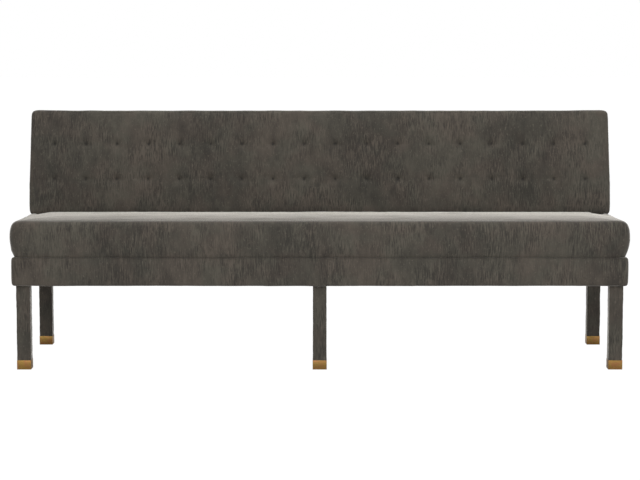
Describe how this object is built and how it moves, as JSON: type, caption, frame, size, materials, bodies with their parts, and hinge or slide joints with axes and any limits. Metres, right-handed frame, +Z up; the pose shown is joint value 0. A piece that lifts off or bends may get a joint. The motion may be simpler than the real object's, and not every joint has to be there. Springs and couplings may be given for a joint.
{
  "type": "upholstered banquette bench",
  "caption": "Long armless upholstered bench with a raked tufted back, thick tight seat, plain apron and square fabric-wrapped legs with brass ferrules.",
  "frame": {"origin": "on the floor, under the middle of the bounding box", "axes": "+X along the bench to the sitter's left, -Y towards the front where people sit down, +Z up"},
  "size_m": [2.134, 0.64, 0.879],
  "materials": {
    "velvet": "short brushed pile, mottled grey-brown",
    "brass": "satin, lacquered",
    "nylon": "matt",
    "beech": "planed, unfinished",
    "plywood": "sanded, unfinished",
    "board": "pressed fibreboard, matt",
    "zinc_steel": "zinc plated",
    "webbing": "woven jute",
    "lining": "plain woven lining",
    "foam": "cut polyurethane foam",
    "fibre": "polyester wadding",
    "black_cloth": "non-woven, matt",
    "thread": "waxed twine"
  },
  "bodies": {
    "root": {"leg_post_front_left": "beech", "leg_post_front_centre": "beech", "leg_post_front_right": "beech", "leg_post_rear_left": "beech", "leg_post_rear_centre": "beech", "leg_post_rear_right": "beech", "leg_cover_front_left": "velvet", "leg_cover_front_centre": "velvet", "leg_cover_front_right": "velvet", "leg_cover_rear_left": "velvet", "leg_cover_rear_centre": "velvet", "leg_cover_rear_right": "velvet", "ferrule_front_left": "brass", "ferrule_front_centre": "brass", "ferrule_front_right": "brass", "ferrule_rear_left": "brass", "ferrule_rear_centre": "brass", "ferrule_rear_right": "brass", "glides": "nylon", "seat_rail_front": "beech", "seat_rail_rear": "beech", "seat_rail_left": "beech", "seat_rail_right": "beech", "cross_rail_left": "beech", "cross_rail_centre": "beech", "cross_rail_right": "beech", "frame_dowels": "beech", "corner_blocks": "beech", "corner_block_screws": "zinc_steel", "seat_webbing_crosswise": "webbing", "seat_webbing_lengthwise": "webbing", "seat_deck_cloth": "lining", "seat_foam_core": "foam", "seat_fibre_wrap": "fibre", "seat_cover": "velvet", "apron_padding": "fibre", "apron_cover": "velvet", "dust_cover": "black_cloth", "back_post_outer_left": "beech", "back_post_inner_left": "beech", "back_post_inner_right": "beech", "back_post_outer_right": "beech", "back_end_board_left": "plywood", "back_end_board_right": "plywood", "back_top_rail": "beech", "back_bottom_rails": "beech", "back_post_bolts": "zinc_steel", "back_post_nuts": "zinc_steel", "back_board": "plywood", "back_foam_core": "foam", "back_fibre_wrap": "fibre", "back_cover": "velvet", "back_end_pads": "fibre", "back_top_pad": "fibre", "outside_back_board": "board", "outside_back_cover": "velvet", "heel_cover": "velvet", "tuft_stitches": "thread", "tuft_twines": "thread", "tuft_toggles": "beech"}
  },
  "joints": []
}
